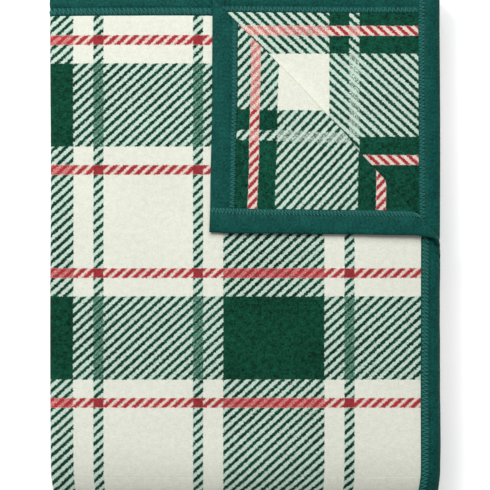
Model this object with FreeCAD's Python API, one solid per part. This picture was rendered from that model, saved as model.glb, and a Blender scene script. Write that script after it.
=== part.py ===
import FreeCAD, Part
import math
import os

# Camp blanket: one woven cloth with binding tape sewn round its four edges. It is folded in
# quarters across its width and then in quarters along its length, so it lies as a flat pad of
# sixteen plies, and one corner of the top ply is turned back over a diagonal fold.
#
# Frame: +Z up, origin at the middle of the bottom, X across the pad, Y along it. The big round
# fold is at -Y and the open ends are at +Y. The bound side edges are at +X, one crease at -X.
# Columns A to D are the quarters across the cloth, rows 1 to 4 the quarters along it.

# ---- Driving dimensions, in mm ----
FOLDED_WIDTH = 381.0  # a quarter of the 1524 mm wide blanket
FOLDED_LENGTH = 502.8  # about a quarter of the 2032 mm long blanket
CLOTH = 3.0  # thickness of the brushed cloth
PLY_GAP = 0.4  # air between neighbouring plies
TAPE_WALL = 0.5  # thickness of the binding tape
SIDE_TAPE = 23.5  # width of the tape on the two long edges, the same on both faces
END_TAPE_FACE = 19.0  # width of the tape on the two short edges, on the cloth's face
END_TAPE_BACK = 25.0  # the same on the cloth's reverse
SEAM_WIDTH = 7.0  # how wide the zigzag seam is
SEAM_INSET = 0.5  # from the tape's inner edge to the zigzag
SEAM_SINK = 0.3  # how far the thread sinks into the tape
HEAD_SETBACK = 6.7  # the head edge stops this far short of the pad's +Y end
FOOT_SETBACK = 3.4  # the foot edge stops this far short of it
RIGHT_SETBACK = 2.5  # the B to C crease stops this far short of the pad's +X side
CORNER_LEG = 226.2  # how much of each edge goes with the turned corner
HINGE_GAP = 0.3  # clearance where two moving bodies meet

# ---- Sizes that follow ----
PITCH = CLOTH + PLY_GAP
HALF = CLOTH / 2
RIM = HALF - TAPE_WALL  # half the thickness of the cloth pressed inside the tape
EDGE = FOLDED_WIDTH / 2  # the bound side edges, in X
SHOULDER = EDGE - SIDE_TAPE  # inner edge of the side tapes
LEVEL = {"a": 1.5 * PITCH, "d": 0.5 * PITCH, "c": -0.5 * PITCH, "b": -1.5 * PITCH}
LEFT_BEND = -EDGE + 1.5 * PITCH + HALF  # centre of both left creases, in X
RIGHT_BEND = EDGE - RIGHT_SETBACK - PITCH / 2 - HALF  # centre of the right crease


def ply_height(ply):
    """Height of the middle of a ply, or of a place between plies; the lowest ply is 0."""
    return HALF + ply * PITCH


# Each row is a strip of four plies: its middle height, and whether column A is on top.
ROWS = {
    1: (ply_height(13.5), True),
    4: (ply_height(9.5), False),
    3: (ply_height(5.5), True),
    2: (ply_height(1.5), False),
}
MAIN_Z = ply_height(7.5)  # axis of the big fold, between rows 4 and 3
END_Z = ply_height(3.5)  # axis of the fold between rows 3 and 2
MAIN_Y = -FOLDED_LENGTH / 2 + ply_height(7.5)
END_Y = FOLDED_LENGTH / 2 - ply_height(3.5)
HEAD_Y = FOLDED_LENGTH / 2 - HEAD_SETBACK
FOOT_Y = FOLDED_LENGTH / 2 - FOOT_SETBACK

# The turned corner: its fold runs along the line X + Y = CORNER_SUM, at height CORNER_Z.
CORNER_Z = ply_height(15.5)
CORNER_SUM = EDGE + HEAD_Y - CORNER_LEG - (PITCH / 2 + HALF) * math.sqrt(2)
CORNER_ARC = math.pi * PITCH / 2  # cloth taken up by the fold itself
CORNER_POINT = FreeCAD.Vector(CORNER_SUM / 2, CORNER_SUM / 2, CORNER_Z)
CORNER_AXIS = FreeCAD.Vector(-math.sqrt(0.5), math.sqrt(0.5), 0)
OUTWARD = FreeCAD.Vector(math.sqrt(0.5), math.sqrt(0.5), 0)
REACH = 2 * FOLDED_LENGTH  # longer than anything it has to cut


# ---- Cross-sections of a strip, in the XZ plane, with Z = 0 at its middle ----
def straight(x_from, x_to, z):
    """One level edge of a cross-section."""
    return Part.LineSegment(FreeCAD.Vector(x_from, 0, z), FreeCAD.Vector(x_to, 0, z)).toShape()


def bend(x, z, radius, side):
    """One half-round edge of a crease; side is +1 if it bulges to +X."""
    top = FreeCAD.Vector(x, 0, z + radius)
    middle = FreeCAD.Vector(x + side * radius, 0, z)
    bottom = FreeCAD.Vector(x, 0, z - radius)
    return Part.Arc(top, middle, bottom).toShape()


def ply_line(offset, end):
    """Edges that follow plies A, B, C and D in turn, offset towards the cloth's face."""
    return [
        straight(end, LEFT_BEND, LEVEL["a"] + offset),
        bend(LEFT_BEND, 0, 1.5 * PITCH + offset, -1),
        straight(LEFT_BEND, RIGHT_BEND, LEVEL["b"] - offset),
        bend(RIGHT_BEND, -PITCH, 0.5 * PITCH + offset, 1),
        straight(RIGHT_BEND, LEFT_BEND, LEVEL["c"] + offset),
        bend(LEFT_BEND, 0, 0.5 * PITCH - offset, -1),
        straight(LEFT_BEND, end, LEVEL["d"] - offset),
    ]


def band(outer, inner, end):
    """The section of a layer that follows all four plies, between two offsets."""
    cap_a = Part.makeLine((end, 0, LEVEL["a"] + outer), (end, 0, LEVEL["a"] + inner))
    cap_d = Part.makeLine((end, 0, LEVEL["d"] - outer), (end, 0, LEVEL["d"] - inner))
    edges = ply_line(outer, end) + ply_line(inner, end) + [cap_a, cap_d]
    return Part.Face(Part.Wire(Part.__sortEdges__(edges)))


def bar(x_from, x_to, z_from, z_to):
    """A rectangular section."""
    corners = [(x_from, 0, z_from), (x_to, 0, z_from), (x_to, 0, z_to), (x_from, 0, z_to)]
    return Part.Face(Part.makePolygon(corners + corners[:1]))


def cloth_faces(outer, inner):
    """The cloth's section between two offsets, with its thin rims in the side tapes."""
    tip = EDGE - TAPE_WALL
    rims = [bar(SHOULDER, tip, LEVEL[c] - RIM, LEVEL[c] + RIM) for c in "ad"]
    return [band(outer, inner, SHOULDER)] + rims


def side_tape_faces(column):
    """The folded tape on the long edge of column a or d: two flanges and the closed edge."""
    z = LEVEL[column]
    return [
        bar(SHOULDER, EDGE, z + RIM, z + HALF),
        bar(SHOULDER, EDGE, z - HALF, z - RIM),
        bar(EDGE - TAPE_WALL, EDGE, z - RIM, z + RIM),
    ]


def side_seam_faces(column):
    """The zigzag seam of the same tape, which shows on both faces."""
    z = LEVEL[column]
    near = SHOULDER + SEAM_INSET
    far = near + SEAM_WIDTH
    return [
        bar(near, far, z + HALF - SEAM_SINK, z + HALF),
        bar(near, far, z - HALF, z - HALF + SEAM_SINK),
    ]


# ---- Sweeping a section along a row or round a fold ----
def placed(face, row, y):
    """A section moved to a row of the pad, upside down where column A is at the bottom."""
    middle, a_on_top = ROWS[row]
    face = face.copy() if a_on_top else face.mirror(FreeCAD.Vector(), FreeCAD.Vector(0, 0, 1))
    face.translate(FreeCAD.Vector(0, y, middle))
    return face


def along(face, row, start, end):
    """A section drawn straight along a row."""
    return placed(face, row, start).extrude(FreeCAD.Vector(0, end - start, 0))


def around(face, row, y, z):
    """A section turned half round a fold that starts at that row."""
    centre = FreeCAD.Vector(0, y, z)
    return placed(face, row, y).revolve(centre, FreeCAD.Vector(1, 0, 0), 180)


def joined(shapes):
    """Shapes that meet face to face, made one."""
    whole = shapes[0].fuse(shapes[1:]) if len(shapes) > 1 else shapes[0]
    return whole.removeSplitter()


def row_start(row):
    """Rows 1 and 4 lift off with the upper half, so they stop a hinge gap short."""
    return MAIN_Y + HINGE_GAP if row in (1, 4) else MAIN_Y


# ---- The cloth, its side tapes and their seams ----
def plain_row(faces, row):
    """Rows 2 and 3, which run from the big fold to the fold at the other end."""
    return joined([along(face, row, MAIN_Y, END_Y) for face in faces])


def outer_fold(faces):
    """The big fold between rows 1 and 2."""
    return joined([around(face, 1, MAIN_Y, MAIN_Z) for face in faces])


def inner_fold(faces):
    """The fold inside it, between rows 4 and 3."""
    return joined([around(face, 4, MAIN_Y, MAIN_Z) for face in faces])


def end_fold(faces):
    """The fold between rows 2 and 3, at the other end."""
    return joined([around(face, 2, END_Y, END_Z) for face in faces])


def ending_cloth(row, end):
    """Cloth of a row that ends in a bound edge, pressed thin where the tape covers it."""
    thick = cloth_faces(HALF, -HALF)
    back_pressed = cloth_faces(HALF, -RIM)
    rim = band(RIM, -RIM, EDGE - TAPE_WALL)
    back_from = end - END_TAPE_BACK
    face_from = end - END_TAPE_FACE
    pieces = [along(face, row, row_start(row), back_from) for face in thick]
    pieces += [along(face, row, back_from, face_from) for face in back_pressed]
    pieces.append(along(rim, row, face_from, end - TAPE_WALL))
    return joined(pieces)


def end_seam(row, end):
    """The two visible sides of the seam along a bound end."""
    face_from = end - END_TAPE_FACE + SEAM_INSET
    back_from = end - END_TAPE_BACK + SEAM_INSET
    face_side = band(HALF, HALF - SEAM_SINK, SHOULDER)
    back_side = band(SEAM_SINK - HALF, -HALF, SHOULDER)
    return Part.makeCompound(
        [
            along(face_side, row, face_from, face_from + SEAM_WIDTH),
            along(back_side, row, back_from, back_from + SEAM_WIDTH),
        ]
    )


def end_tape(row, end):
    """The tape folded over a bound end, between the side tapes, grooved for its seam."""
    flange = along(band(HALF, RIM, SHOULDER), row, end - END_TAPE_FACE, end)
    back = along(band(-RIM, -HALF, SHOULDER), row, end - END_TAPE_BACK, end)
    closed = along(band(RIM, -RIM, SHOULDER), row, end - TAPE_WALL, end)
    return joined([flange, back, closed]).cut(end_seam(row, end))


def side_tape(column, sweep):
    """A length of side tape, grooved for its seam, by any of the sweeps above."""
    return sweep(side_tape_faces(column)).cut(sweep(side_seam_faces(column)))


def ending_row(faces, row, end):
    """A side tape or seam along a row that ends in a bound edge."""
    return joined([along(face, row, row_start(row), end) for face in faces])


def lower_run(faces):
    """A side tape or seam along row 2, round the end fold and back along row 3."""
    return joined([plain_row(faces, 2), end_fold(faces), plain_row(faces, 3)])


# ---- The turned corner ----
def beyond(distance):
    """Everything at the top ply's height that is this far past the corner's fold axis."""
    low = CORNER_Z - PITCH
    block = Part.makeBox(REACH, 2 * REACH, 2 * PITCH, FreeCAD.Vector(0, -REACH, low))
    block.rotate(FreeCAD.Vector(), FreeCAD.Vector(0, 0, 1), 45)
    block.translate(OUTWARD * (CORNER_SUM * math.sqrt(0.5) + distance))
    return block


def turned_back(shape):
    """A part of the flat corner, turned over on to the top ply."""
    flap = shape.common(beyond(CORNER_ARC + HINGE_GAP))
    flap.rotate(CORNER_POINT, CORNER_AXIS, 180)
    flap.translate(OUTWARD * CORNER_ARC)
    return flap


def corner_fold(shape):
    """The half-round stretch of the same part between the top ply and the flap."""
    along_fold = CORNER_AXIS * REACH
    down = FreeCAD.Vector(0, 0, PITCH)
    start = CORNER_POINT - along_fold
    end = CORNER_POINT + along_fold
    sheet = Part.Face(Part.makePolygon([start, end, end - down, start - down, start]))
    cut_face = shape.common(sheet)
    turned = [face.revolve(CORNER_POINT, CORNER_AXIS, -180) for face in cut_face.Faces]
    inside = Part.makeBox(REACH, REACH, REACH, FreeCAD.Vector(EDGE - REACH, -REACH / 2, 0))
    return Part.makeCompound(turned).common(inside)


def add_with_corner(parts, name, whole):
    """Adds what stays in row 1, what is turned back, and the fold between them."""
    parts[name + "_row_1"] = whole.cut(beyond(0))
    parts[name + "_corner"] = turned_back(whole)
    parts[name + "_corner_fold"] = corner_fold(whole)


def blanket():
    """Every node of the blanket, by name."""
    parts = {}
    thick = cloth_faces(HALF, -HALF)
    add_with_corner(parts, "cloth", ending_cloth(1, HEAD_Y))
    parts["cloth_row_2"] = plain_row(thick, 2)
    parts["cloth_row_3"] = plain_row(thick, 3)
    parts["cloth_row_4"] = ending_cloth(4, FOOT_Y)
    parts["cloth_outer_fold"] = outer_fold(thick)
    parts["cloth_inner_fold"] = inner_fold(thick)
    parts["cloth_end_fold"] = end_fold(thick)
    for column in "ad":
        tape = "side_tape_" + column
        seam = "side_seam_" + column
        seam_faces = side_seam_faces(column)
        tape_1 = side_tape(column, lambda faces: ending_row(faces, 1, HEAD_Y))
        seam_1 = ending_row(seam_faces, 1, HEAD_Y)
        if column == "a":
            add_with_corner(parts, tape, tape_1)
            add_with_corner(parts, seam, seam_1)
        else:
            parts[tape + "_row_1"] = tape_1
            parts[seam + "_row_1"] = seam_1
        parts[tape + "_row_4"] = side_tape(column, lambda faces: ending_row(faces, 4, FOOT_Y))
        parts[seam + "_row_4"] = ending_row(seam_faces, 4, FOOT_Y)
        for run, sweep in (("outer_fold", outer_fold), ("inner_fold", inner_fold), ("lower", lower_run)):
            parts[f"{tape}_{run}"] = side_tape(column, sweep)
            parts[f"{seam}_{run}"] = sweep(seam_faces)
    add_with_corner(parts, "head_tape", end_tape(1, HEAD_Y))
    add_with_corner(parts, "head_seam", end_seam(1, HEAD_Y))
    parts["foot_tape_row_4"] = end_tape(4, FOOT_Y)
    parts["foot_seam_row_4"] = end_seam(4, FOOT_Y)
    return parts


os.makedirs("parts", exist_ok=True)
for node, shape in blanket().items():
    shape.exportStep(f"parts/{node}.step")
    print(f"{node}: {len(shape.Solids)} solids, {shape.Volume / 1000:.2f} cm3, valid {shape.isValid()}")
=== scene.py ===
# %% [markdown]
# # A folded camp blanket
# The real thing is one sheet of thick brushed plaid cloth, 1.5 by 2 metres, with tape sewn round its four
# edges. It is folded in quarters both ways and its top corner is turned back. Here every surface is
# worked out from one idea: a point of the flat blanket, given by its distance from the nearest edges, is
# sent by a formula to where that point lies in the folded pad. Cloth, tape and thread all go through the
# same formula, so they stay together. Another way is to fold the sheet by cloth simulation, but sixteen
# plies resting on each other never settle as neatly as hands fold them.

# %% Load the frame
import math

import bpy
import numpy as np
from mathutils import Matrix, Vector


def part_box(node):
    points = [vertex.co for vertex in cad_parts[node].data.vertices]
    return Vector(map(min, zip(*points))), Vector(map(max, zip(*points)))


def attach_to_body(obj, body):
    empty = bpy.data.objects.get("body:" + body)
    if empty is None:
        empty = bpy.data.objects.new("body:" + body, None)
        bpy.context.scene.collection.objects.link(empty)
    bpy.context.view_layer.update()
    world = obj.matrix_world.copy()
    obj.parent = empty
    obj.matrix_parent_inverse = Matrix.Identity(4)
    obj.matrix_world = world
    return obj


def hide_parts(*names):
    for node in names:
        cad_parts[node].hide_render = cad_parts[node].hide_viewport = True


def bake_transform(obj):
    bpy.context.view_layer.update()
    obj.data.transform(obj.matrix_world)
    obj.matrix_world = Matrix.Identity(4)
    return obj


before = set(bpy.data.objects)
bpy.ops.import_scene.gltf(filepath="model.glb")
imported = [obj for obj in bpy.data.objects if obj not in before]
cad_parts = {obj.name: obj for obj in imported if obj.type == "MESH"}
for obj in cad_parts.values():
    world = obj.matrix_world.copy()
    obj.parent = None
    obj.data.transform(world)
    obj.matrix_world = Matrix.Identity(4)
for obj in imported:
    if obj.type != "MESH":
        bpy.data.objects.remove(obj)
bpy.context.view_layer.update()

MM = 0.001

# %% [markdown]
# ## Sizes
# The frame already holds the sizes that matter: how thick a ply is, where the folds turn and where the
# edges are. They are read from the boxes of its nodes, so the cloth lands where the plain solids were.

# %% Sizes read from the frame
row_1_low, row_1_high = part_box("cloth_row_1")
row_2_low, row_2_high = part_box("cloth_row_2")
row_3_low, row_3_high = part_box("cloth_row_3")
row_4_low, row_4_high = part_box("cloth_row_4")
tape_low, tape_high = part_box("side_tape_a_row_4")
PITCH = (row_1_high[2] - row_4_high[2]) / 4  # from one ply to the next
CLOTH = row_1_high[2] - row_1_low[2] - 3 * PITCH
HALF = CLOTH / 2
EDGE = tape_high[0]  # the bound side edges, in X
SIDE_TAPE = EDGE - tape_low[0]
LEFT = row_2_low[0] + 1.5 * PITCH + HALF  # centre of the creases at -X
MAIN_Y = row_2_low[1]  # the big fold starts here
MAIN_Z = (row_3_high[2] + row_4_low[2]) / 2
END_Y = row_2_high[1]
END_Z = (row_2_high[2] + row_3_low[2]) / 2
HEAD_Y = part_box("side_tape_d_row_1")[1][1]
FOOT_Y = tape_high[1]
TOP = row_1_high[2]
TOP_PLY = TOP - HALF  # height of the middle of the top ply
print(f"ply {CLOTH / MM:.1f} mm, pitch {PITCH / MM:.1f} mm")
print(f"pad {EDGE * 2 / MM:.0f} mm wide, its top at {TOP / MM:.1f} mm")

# %% [markdown]
# ## Small helpers
# `smooth` eases from 0 to 1, and `keyed` runs a gentle line through a few chosen values. Both take whole
# arrays at once.


# %% Easing
def smooth(t):
    """3t^2 - 2t^3, with t held between 0 and 1: a step with soft ends."""
    t = np.clip(t, 0, 1)
    return t * t * (3 - 2 * t)


def keyed(at, keys):
    """A curve through (place, value) keys, eased from each key to the next."""
    keys = sorted(keys)
    value = np.full(np.shape(at), keys[0][1], float)
    for (start, low), (end, high) in zip(keys, keys[1:]):
        value = value + (high - low) * smooth((at - start) / (end - start))
    return value


print("halfway between keys 0 and 2:", keyed(np.array([0.5]), [(0, 0), (1, 2)])[0])

# %% [markdown]
# ## Across the blanket: the columns
# Folding in quarters across the width makes a strip of four plies: column A on top, then D, C and B. A
# place on it is known by `side`, the long edge that it is nearer to, and `u`, its distance from that edge
# along the cloth. Going in from edge A the cloth runs to the left crease, turns round a half circle on to
# column B, and comes back to the crease at the right where it meets the half that started at edge D.

# %% The strip of four plies
CREASE = {"a": 1.5 * PITCH, "d": 0.5 * PITCH}  # radius of each side's left crease
APPROACH = {"a": -1, "d": 1}  # which way each side comes into the right crease
TOP_OVERHANG = 4.5 * MM  # edge A of row 1 hangs over the pad's side by this much
D_SHORT = 1.5 * MM  # under it, edge D is tucked in
D_FREE = 2.6 * MM  # edge D sticks out where the corner is turned back
RIGHT_CREASE_TOP = EDGE - 13.7 * MM  # centre of the right crease in row 1
RIGHT_CREASE = EDGE - 5.7 * MM  # and in the other rows
FREE_FROM, FREE_TO = -12 * MM, 12 * MM  # in Y, where edge D comes out from under edge A


def on_row_1(region, s):
    """How much a place belongs to row 1: 1 on the row, easing to 0 round the big fold."""
    if region == "outer_fold":
        return 1 - smooth(s / np.pi)
    return np.full(np.shape(s), 1.0 if region == "row_1" else 0.0)


def freed(region, s):
    """0 where edge D lies under edge A, 1 where the turned corner leaves it bare."""
    return smooth((s - FREE_FROM) / (FREE_TO - FREE_FROM)) if region == "row_1" else np.zeros(np.shape(s))


def edge_x(side, region, s):
    """Where the cloth's long edge would be in X if it lay flat."""
    first = on_row_1(region, s)
    if side == "a":
        return EDGE + TOP_OVERHANG * first
    return EDGE - D_SHORT + (D_FREE + D_SHORT) * freed(region, s) * first


def crease_x(region, s):
    """Centre of the right crease, which keeps clear of the edges that hang over it in row 1."""
    return RIGHT_CREASE + (RIGHT_CREASE_TOP - RIGHT_CREASE) * on_row_1(region, s)


def crease_at(side, region, s):
    """Distance u at which a side reaches the left crease."""
    return edge_x(side, region, s) - LEFT


def side_length(side, region, s):
    """Distance u at which a side reaches the middle of the right crease."""
    k = CREASE[side]
    return crease_at(side, region, s) + np.pi * k + crease_x(region, s) - LEFT + np.pi / 4 * PITCH


def across(side, region, u, s):
    """x, and height over the strip's middle: a run, a half circle, a run back and a quarter circle."""
    k = CREASE[side]
    first = crease_at(side, region, s)
    second = crease_x(region, s) - LEFT
    bend = np.clip((u - first) / k, 0, np.pi)
    back = np.clip(u - first - np.pi * k, 0, second)
    turn = np.clip((u - first - np.pi * k - second) / (PITCH / 2), 0, None)
    x = LEFT + first - np.minimum(u, first) - k * np.sin(bend) + back + PITCH / 2 * np.sin(turn)
    h = k * np.cos(bend) + APPROACH[side] * PITCH / 2 * (np.cos(turn) - 1)
    return x, h


side_lengths = [float(side_length(side, "row_2", np.zeros(1))[0]) for side in "ad"]
print(f"cloth across a row {sum(side_lengths):.3f} m, meeting {side_lengths[0]:.3f} m from edge A")

# %% [markdown]
# The open edges of row 1 do not end square. They hang over the side of the pad in a small arc, so from
# above the tape looks narrower than it is. The arc keeps the cloth's length: a point `t` past the start
# of the arc moves to `r sin(t / r)` and drops by `r (1 - cos(t / r))`.

# %% Edges that hang over the side
DROOP_X = EDGE - 11.9 * MM  # the arc starts here
DROOP_A = 11.9 * MM  # radius under edge A
DROOP_D = 8.5 * MM  # radius of edge D inside it
DROOP_D_FREE = 13.9 * MM  # and where it is bare


def droop(x, radius, share):
    """x and the drop, on an arc of the given radius; a share under 1 flattens it."""
    past = np.maximum(x - DROOP_X, 0)
    bend = radius / np.maximum(share, 0.001)
    return x - past + bend * np.sin(past / bend), bend * (1 - np.cos(past / bend))


def droop_radius(side, region, s):
    """Edge D curls tighter under edge A than where it is bare."""
    if side == "a":
        return np.full(np.shape(s), DROOP_A)
    return DROOP_D + (DROOP_D_FREE - DROOP_D) * freed(region, s)


print(f"edge A drops {droop(EDGE, DROOP_A, 1.0)[1] / MM:.1f} mm over the side")

# %% [markdown]
# ## Along the blanket: the rows
# Folding in quarters along the length stacks the strips. From the top they are rows 1, 4, 3 and 2, each
# the other way up from the one it folds on to. Three half-circle folds join them. On a row the place is
# its `s` = Y, and on a fold it is the angle round it, from 0 to pi.

# %% The stack of rows
# For each row: height of the strip's middle, and 1 where it lies the same way up as row 1.
ROWS = {
    "row_1": ((row_1_low[2] + row_1_high[2]) / 2, 1),
    "row_2": ((row_2_low[2] + row_2_high[2]) / 2, -1),
    "row_3": ((row_3_low[2] + row_3_high[2]) / 2, 1),
    "row_4": ((row_4_low[2] + row_4_high[2]) / 2, -1),
}
# For each fold: centre Y, centre Z, radius to the strip's middle, which way a ply's height adds to it, and
# which way it bulges (1 to -Y, -1 to +Y).
FOLDS = {
    "outer_fold": (MAIN_Y, MAIN_Z, 6 * PITCH, 1, 1),
    "inner_fold": (MAIN_Y, MAIN_Z, 2 * PITCH, -1, 1),
    "end_fold": (END_Y, END_Z, 2 * PITCH, 1, -1),
}


def stacked(region, h, s):
    """y and z of a point at height h over its strip's middle: level on a row, on a circle round a fold."""
    if region in ROWS:
        middle, up = ROWS[region]
        return s + 0 * h, middle + up * h + 0 * s
    y, z, radius, sign, bulge = FOLDS[region]
    reach = radius + sign * h
    return y - bulge * reach * np.sin(s), z + bulge * reach * np.cos(s)


print("rows' middles in mm", {row: round(middle / MM, 1) for row, (middle, _) in ROWS.items()})

# %% [markdown]
# ## The turned corner
# The corner of the top ply goes round a diagonal fold. Flat, a point there is X and Y. Turned by 45
# degrees it is `along` the fold and `beyond` it. Beyond the fold's axis the cloth first climbs round half
# an ellipse, and then comes back over the pad at the height of the flap. The fold is pressed tight at the
# head edge. Near the side edge the doubled tape is stiff, so the loop stands up and pulls back, and that
# is what the keyed values below say.

# %% The diagonal fold
ROOT_HALF = math.sqrt(0.5)
CORNER_EDGE = EDGE + TOP_OVERHANG
# Keys are (distance along the fold, value), in mm: 200 is at the head edge and -130 is at the side edge.
FOLD_RIM = [(-140, 197.5), (-100, 200.5), (-55, 203.0), (-18, 204.8), (12, 209.0), (100, 212.0), (200, 211.0)]
MIRROR = [(-140, 201.6), (-104, 207.0), (-50, 208.0), (10, 208.8), (60, 211.0), (120, 212.7), (200, 213.2)]
LOOP_HEIGHT = [(-140, 8.0), (-20, 7.0), (35, 5.7), (120, 5.1)]
LOOP_BULGE = [(-140, 4.0), (-80, 4.4), (-20, 3.6), (35, 2.0), (120, 1.8)]
LOOP_RISES = 0.6  # share of the loop over which its side edge comes up from hanging over the pad's side
FLAP_SETTLES = 60 * MM  # how far from the fold the raised flap takes to lie flat
FLAP_GAP = PITCH + 0.7 * MM  # height of the resting flap over the top ply
FLAP_LIFT = 1.5 * MM  # its bound long edge is held a little off the pad
FLAP_RIPPLE = 0.5 * MM
FOLD_TRIES = 60  # steps to the fixed point, far more than it needs


def along_keys(along, keys):
    """A keyed value in metres at a distance along the fold."""
    return keyed(along / MM, keys) * MM


def loop_axis(along):
    """Distance from the origin, square to the fold, at which the top ply starts to climb."""
    return along_keys(along, FOLD_RIM) * ROOT_HALF - HALF - along_keys(along, LOOP_BULGE)


def loop_length(along):
    """Cloth in the loop, so that the flap's mirror line falls where the keys put it."""
    return 2 * (along_keys(along, MIRROR) * ROOT_HALF - loop_axis(along))


def fold_line(known, share, other_is):
    """X or Y of the flat point at this share of the loop, found by stepping to a fixed point."""
    other = np.zeros(np.shape(known)) + 0.1
    for _ in range(FOLD_TRIES):
        along = (known - other) * ROOT_HALF if other_is == "x" else (other - known) * ROOT_HALF
        other = (loop_axis(along) + share * loop_length(along)) / ROOT_HALF - known
    return other


def fold_y(u, share):
    """Flat Y at which the line of the fold crosses distance u from edge A."""
    return fold_line(CORNER_EDGE - u, share, "y")


def fold_u(y, share):
    """Distance u from edge A at which it crosses flat height Y."""
    return CORNER_EDGE - fold_line(y, share, "x")


def flap_height(inward, along):
    """The loop's height easing down to the resting flap, plus a slight curl."""
    high = along_keys(along, LOOP_HEIGHT)
    ripple = FLAP_RIPPLE * np.sin(inward / (17 * MM) + along / (41 * MM)) * smooth(inward / (30 * MM))
    level = FLAP_GAP + (high - FLAP_GAP) * smooth(1 - inward / FLAP_SETTLES)
    return level + ripple * smooth(inward / (20 * MM))


SIDE_SOFT = 7.6 * MM
SIDE_STOP = EDGE - SIDE_SOFT


def kept_in(x):
    """Eases x towards a limit, so that the flap's tip stays over the pad."""
    past = np.maximum(x - SIDE_STOP, 0)
    return x - past + SIDE_SOFT * (1 - np.exp(-past / SIDE_SOFT))


def corner(region, u, y):
    """x, y and z of the flat point (u, y) of the turned corner, on the loop or on the flap."""
    x = CORNER_EDGE - u
    along = (y - x) * ROOT_HALF
    axis = loop_axis(along)
    length = loop_length(along)
    beyond = (x + y) * ROOT_HALF - axis
    if region == "corner_fold":
        angle = np.pi * beyond / length
        out = axis + along_keys(along, LOOP_BULGE) * np.sin(angle)
        z = TOP_PLY + along_keys(along, LOOP_HEIGHT) / 2 * (1 - np.cos(angle))
        risen = smooth(beyond / length / LOOP_RISES)
    else:
        out = axis - (beyond - length)
        z = TOP_PLY + flap_height(beyond - length, along)
        z = z + FLAP_LIFT * smooth(1 - u / (50 * MM)) * smooth((beyond - length) / (36 * MM))
        risen = np.ones(np.shape(z))
    x, y = (out - along) * ROOT_HALF, (out + along) * ROOT_HALF
    low_x, drop = droop(x, DROOP_A, 1.0)
    return low_x + (kept_in(x) - low_x) * risen, y, z - drop * (1 - risen)


at_side, at_head = fold_y(np.array([0.0]), 0)[0], fold_u(np.array([HEAD_Y]), 0)[0]
print(f"fold meets the side edge at Y {at_side / MM:.1f} mm and the head edge at u {at_head / MM:.1f} mm")

# %% [markdown]
# ## Where hands and gravity leave their mark
# A pad made only of straight lines looks like a stack of boards. So every point is moved a little: the
# top rolls off towards the big fold, the fold's ends pull in, and the whole pad is slightly wavy. Each
# move is a smooth function of the place, so plies that lie on each other still do.

# %% Gentle unevenness
ROLL_FROM = MAIN_Y + 34 * MM
FOLD_OUT = MAIN_Z  # how far the big fold reaches past its axis
NEARLY_ONE = 0.9995  # keeps the two roots below away from zero
END_PULL = 0.011  # the fold's ends draw in by this share
SWELL = 0.28 * MM
SIDE_SHIFT, END_SHIFT = 0.35 * MM, 0.5 * MM  # how unevenly the plies' edges lie
PLY_TURN = 7.3 * MM  # height over which that shift turns by one radian


def roll_off(y):
    """Height of a half ellipse over that of the straight top and half circle that it replaces."""
    far = MAIN_Y - FOLD_OUT
    into = np.clip((ROLL_FROM - y) / (ROLL_FROM - far), 0, NEARLY_ONE)
    round_end = np.clip((MAIN_Y - y) / FOLD_OUT, 0, NEARLY_ONE)
    return np.sqrt(1 - into**2.2) / np.sqrt(1 - round_end**2)


def settle(x, y, z):
    """The finished place of a point of the neat pad."""
    share = z / TOP
    z = np.where(z > MAIN_Z, MAIN_Z + (z - MAIN_Z) * roll_off(y), z)
    pull = smooth((MAIN_Y + 6 * MM - y) / (30 * MM))
    x = x * (1 - END_PULL * pull)
    swell = np.sin(x / (52 * MM) + 0.8) * np.sin(y / (61 * MM) - 0.5)
    swell = swell + 0.6 * np.sin((x - y) / (37 * MM) + 2.0)
    z = z + SWELL * swell * share
    level = z / PLY_TURN
    x = x + SIDE_SHIFT * np.sin(y / (47 * MM) + level) * smooth(np.abs(x) / EDGE * 4 - 3)
    y = y + END_SHIFT * np.sin(x / (58 * MM) + 1.3 * level) * smooth(y / END_Y * 4 - 3)
    return np.stack(np.broadcast_arrays(x, y, z), axis=-1)


# %% [markdown]
# ## One formula for every point
# `surface` gives the middle of the cloth. `lay` goes on from there by `n` along the cloth's own normal,
# towards its face, so a thickness, a tape or a thread can be added on top of any fold. The normal is the
# cross product of two small steps.


# %% Laying a point of the blanket
# Where the cross product points away from the face.
FACE_DOWN = ("row_1", "corner", "corner_fold", "row_3", "inner_fold")
STEP = 0.02 * MM
TURN_STEP = 0.002  # the same round a fold, in radians


def surface(region, side, u, s):
    """The middle of the cloth at distance u from its long edge and place s along its region."""
    if region in ("corner", "corner_fold"):
        return settle(*corner(region, u, s))
    x, h = across(side, region, u, s)
    low_x, drop = droop(x, droop_radius(side, region, s), on_row_1(region, s))
    hangs = (u < crease_at(side, region, s)) & (on_row_1(region, s) > 0)
    x, h = np.where(hangs, low_x, x), np.where(hangs, h - drop, h)
    y, z = stacked(region, h, s)
    return settle(x, y, z)


def lay(region, side, u, s, n):
    """That point moved by n along the normal, towards the cloth's face."""
    u, s, n = np.broadcast_arrays(np.asarray(u, float), np.asarray(s, float), np.asarray(n, float))
    step_s = TURN_STEP if region in FOLDS else STEP
    du = surface(region, side, u + STEP, s) - surface(region, side, u - STEP, s)
    ds = surface(region, side, u, s + step_s) - surface(region, side, u, s - step_s)
    normal = np.cross(du, ds)
    sign = (-1 if region in FACE_DOWN else 1) * (1 if side == "a" else -1)
    normal *= sign / np.linalg.norm(normal, axis=-1, keepdims=True)
    return surface(region, side, u, s) + normal * n[..., None]


print("a point 0.1 m in from edge A lies at", lay("row_1", "a", 0.1, 0.0, HALF).round(4))

# %% [markdown]
# The weave follows the flat cloth, so each vertex also carries its flat place: `U` across from edge A and
# `V` down from the head edge. Round a fold the outer plies use up more length than the inner ones, and
# that creeps into V as it does on a real blanket. It also pushes the head edges of the lower plies of row
# 1 past the top one.

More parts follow.
